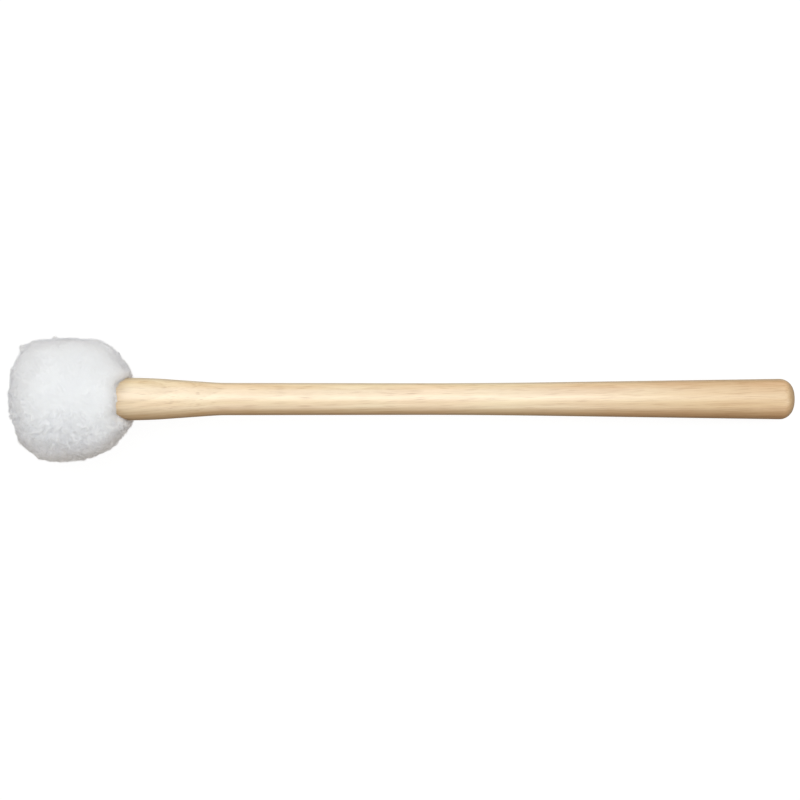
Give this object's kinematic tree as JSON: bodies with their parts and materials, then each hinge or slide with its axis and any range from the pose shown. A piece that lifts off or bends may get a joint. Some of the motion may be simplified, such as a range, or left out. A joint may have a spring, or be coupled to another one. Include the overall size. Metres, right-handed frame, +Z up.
{
  "type": "bass drum mallet",
  "caption": "Marching bass drum mallet: a round fleece-covered felt head tied on a turned hickory handle with a slim waist and a flared grip.",
  "frame": {"origin": "on the table under the middle of the mallet: the bottom centre of its box as it lies, with the fleece and the rim of the butt on the table", "axes": "+X from the head towards the butt, level with the table, so the handle slopes down along it by about 3.3 degrees; +Z up from the table"},
  "size_m": [0.3598, 0.0568, 0.0564],
  "materials": {
    "hickory": "satin",
    "felt": "matte",
    "fleece": "matte",
    "thread": "matte"
  },
  "bodies": {
    "root": {"handle": "hickory", "felt_core": "felt", "fleece_cover": "fleece", "tie_thread": "thread"}
  },
  "joints": []
}
